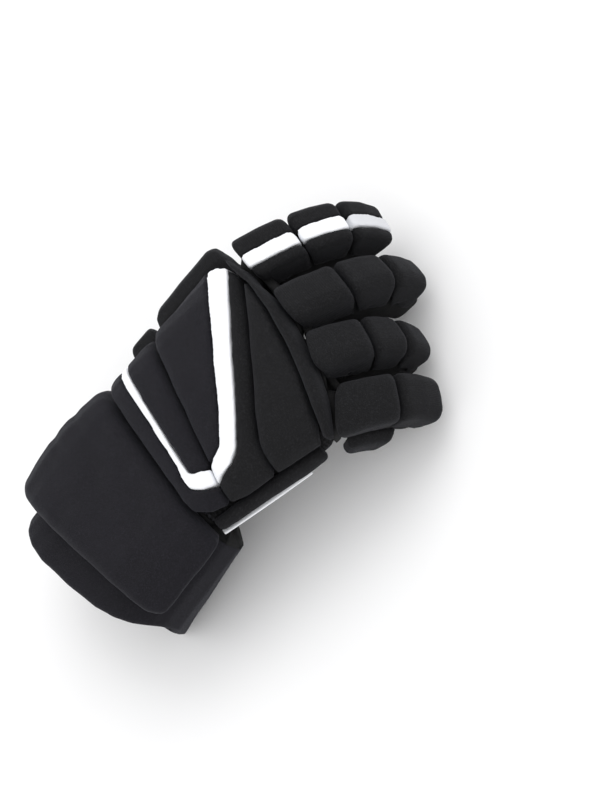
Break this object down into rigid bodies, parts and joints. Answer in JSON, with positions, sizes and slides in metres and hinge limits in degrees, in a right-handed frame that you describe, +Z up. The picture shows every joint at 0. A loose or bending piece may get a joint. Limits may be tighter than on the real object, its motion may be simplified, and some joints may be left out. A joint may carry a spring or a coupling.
{
  "type": "ice hockey glove",
  "caption": "Padded ice hockey glove for the right hand, black fabric with white stripes, lying palm down with curled fingers and a flared cuff.",
  "frame": {"origin": "middle of the glove's footprint, on the floor that it rests on", "axes": "+Y from the cuff towards the fingertips, +X towards the little finger, +Z up, out of the back of the hand"},
  "size_m": [0.166, 0.2892, 0.0999],
  "materials": {
    "black_fabric": "matte, finely woven",
    "white_synthetic": "smooth, soft synthetic",
    "black_leather": "matte suede",
    "black_lining": "matte"
  },
  "bodies": {
    "root": {"wrist_band": "black_fabric", "thin_stripe": "white_synthetic", "wrist_pad": "black_fabric", "centre_pad": "black_fabric", "wide_stripe": "white_synthetic", "border_pad": "black_fabric", "knuckle_panel": "black_fabric", "side_roll_short": "black_fabric", "side_roll_long": "black_fabric", "side_panel": "black_fabric", "side_piping": "white_synthetic", "knuckle_roll": "black_fabric", "back_lining": "black_lining", "index_stall": "black_leather", "index_roll_1_thumb_side": "black_fabric", "index_stripe_1": "white_synthetic", "index_roll_1_little_side": "black_fabric", "index_roll_2_thumb_side": "black_fabric", "index_stripe_2": "white_synthetic", "index_roll_2_little_side": "black_fabric", "index_roll_3_thumb_side": "black_fabric", "index_stripe_3": "white_synthetic", "index_roll_3_little_side": "black_fabric", "middle_stall": "black_leather", "middle_roll_1": "black_fabric", "middle_roll_2": "black_fabric", "middle_roll_3": "black_fabric", "ring_stall": "black_leather", "ring_roll_1": "black_fabric", "ring_roll_2": "black_fabric", "ring_roll_3": "black_fabric", "little_stall": "black_leather", "little_roll_1": "black_fabric", "little_roll_2": "black_fabric", "index_middle_web": "black_leather", "middle_ring_web": "black_leather", "little_gusset": "black_fabric", "thumb_stall": "black_leather", "thumb_cap": "black_leather", "thumb_roll_1_thumb_side": "black_fabric", "thumb_stripe_1": "white_synthetic", "thumb_roll_1_little_side": "black_fabric", "thumb_roll_2_thumb_side": "black_fabric", "thumb_stripe_2": "white_synthetic", "thumb_roll_2_little_side": "black_fabric", "palm": "black_leather", "cuff_inner_pad": "black_fabric", "cuff_outer_pad": "black_fabric", "cuff_palm_pad": "black_fabric"}
  },
  "joints": []
}
